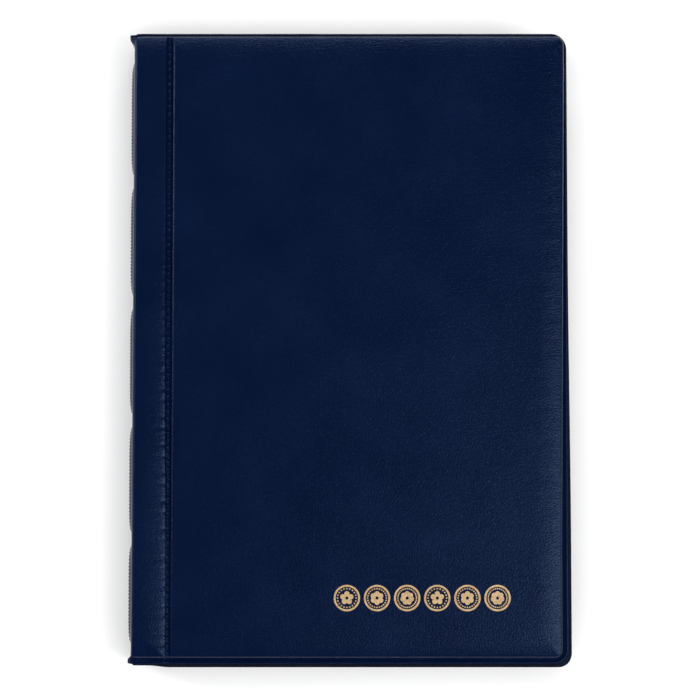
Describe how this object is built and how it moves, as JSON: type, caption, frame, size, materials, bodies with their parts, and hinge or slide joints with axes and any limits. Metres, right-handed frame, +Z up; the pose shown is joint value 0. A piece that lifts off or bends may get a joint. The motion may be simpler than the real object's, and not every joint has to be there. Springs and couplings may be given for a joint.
{
  "type": "coin album",
  "caption": "Padded pocket coin album: navy leatherette covers with a stitched-effect hinge weld, a soft compartmented spine and clear leaves of thumb-cut coin pockets.",
  "frame": {"origin": "middle of the underside of the back cover, on the surface the closed album lies on", "axes": "+Z up through the album's thickness, +Y towards the head, +X towards the fore edge, spine at -X"},
  "size_m": [0.128, 0.185, 0.0211],
  "materials": {
    "cover_vinyl": "embossed padded vinyl leatherette, satin",
    "lining_vinyl": "thin smooth vinyl lining, satin",
    "foam": "soft open-cell foam sheet",
    "greyboard": "uncoated greyboard",
    "binding_vinyl": "thick welded vinyl strip",
    "clear_film": "clear soft vinyl film, glossy",
    "gold_foil": "hot-stamped gold foil, slightly crackled"
  },
  "bodies": {
    "back_cover": {"back_skin": "cover_vinyl", "back_padding": "foam", "back_board": "greyboard", "back_shoulder_pad": "foam", "back_lining": "lining_vinyl"},
    "spine": {"spine_skin": "cover_vinyl", "spine_padding": "foam", "spine_lining": "lining_vinyl", "binding_strip": "binding_vinyl", "leaf_tabs": "clear_film"},
    "front_cover": {"front_skin": "cover_vinyl", "front_padding": "foam", "front_board": "greyboard", "front_shoulder_pad": "foam", "front_lining": "lining_vinyl", "foil_ornament": "gold_foil"},
    "leaf_1": {"leaf_1_sheet": "clear_film", "leaf_1_pockets": "clear_film", "leaf_1_seams": "clear_film"},
    "leaf_2": {"leaf_2_sheet": "clear_film", "leaf_2_pockets": "clear_film", "leaf_2_seams": "clear_film"},
    "leaf_3": {"leaf_3_sheet": "clear_film", "leaf_3_pockets": "clear_film", "leaf_3_seams": "clear_film"},
    "leaf_4": {"leaf_4_sheet": "clear_film", "leaf_4_pockets": "clear_film", "leaf_4_seams": "clear_film"},
    "leaf_5": {"leaf_5_sheet": "clear_film", "leaf_5_pockets": "clear_film", "leaf_5_seams": "clear_film"},
    "leaf_6": {"leaf_6_sheet": "clear_film", "leaf_6_pockets": "clear_film", "leaf_6_seams": "clear_film"},
    "leaf_7": {"leaf_7_sheet": "clear_film", "leaf_7_pockets": "clear_film", "leaf_7_seams": "clear_film"},
    "leaf_8": {"leaf_8_sheet": "clear_film", "leaf_8_pockets": "clear_film", "leaf_8_seams": "clear_film"}
  },
  "joints": [
    {"name": "spine_hinge", "type": "hinge", "parent": "back_cover", "child": "spine", "pos_m": [-0.0616, 0, 0.0024], "axis": [0, -1, 0], "range_deg": [0, 90]},
    {"name": "front_cover_hinge", "type": "hinge", "parent": "spine", "child": "front_cover", "pos_m": [-0.0616, 0, 0.0186], "axis": [0, -1, 0], "range_deg": [0, 90]},
    {"name": "leaf_1_hinge", "type": "hinge", "parent": "spine", "child": "leaf_1", "pos_m": [-0.0586, 0, 0.01582], "axis": [0, -1, 0], "range_deg": [0, 82.8]},
    {"name": "leaf_2_hinge", "type": "hinge", "parent": "spine", "child": "leaf_2", "pos_m": [-0.0586, 0, 0.01408], "axis": [0, -1, 0], "range_deg": [0, 66.6]},
    {"name": "leaf_3_hinge", "type": "hinge", "parent": "spine", "child": "leaf_3", "pos_m": [-0.0586, 0, 0.01232], "axis": [0, -1, 0], "range_deg": [0, 50.4]},
    {"name": "leaf_4_hinge", "type": "hinge", "parent": "spine", "child": "leaf_4", "pos_m": [-0.0586, 0, 0.01057], "axis": [0, -1, 0], "range_deg": [0, 34.2]},
    {"name": "leaf_5_hinge", "type": "hinge", "parent": "spine", "child": "leaf_5", "pos_m": [-0.0586, 0, 0.00882], "axis": [0, -1, 0], "range_deg": [-34.2, 0]},
    {"name": "leaf_6_hinge", "type": "hinge", "parent": "spine", "child": "leaf_6", "pos_m": [-0.0586, 0, 0.00707], "axis": [0, -1, 0], "range_deg": [-50.4, 0]},
    {"name": "leaf_7_hinge", "type": "hinge", "parent": "spine", "child": "leaf_7", "pos_m": [-0.0586, 0, 0.00532], "axis": [0, -1, 0], "range_deg": [-66.6, 0]},
    {"name": "leaf_8_hinge", "type": "hinge", "parent": "spine", "child": "leaf_8", "pos_m": [-0.0586, 0, 0.00358], "axis": [0, -1, 0], "range_deg": [-82.8, 0]}
  ],
  "couplings": [
    {"joint": "leaf_1_hinge", "follows": "front_cover_hinge", "ratio": 0.92},
    {"joint": "leaf_2_hinge", "follows": "front_cover_hinge", "ratio": 0.74},
    {"joint": "leaf_3_hinge", "follows": "front_cover_hinge", "ratio": 0.56},
    {"joint": "leaf_4_hinge", "follows": "front_cover_hinge", "ratio": 0.38},
    {"joint": "leaf_5_hinge", "follows": "spine_hinge", "ratio": -0.38},
    {"joint": "leaf_6_hinge", "follows": "spine_hinge", "ratio": -0.56},
    {"joint": "leaf_7_hinge", "follows": "spine_hinge", "ratio": -0.74},
    {"joint": "leaf_8_hinge", "follows": "spine_hinge", "ratio": -0.92}
  ]
}
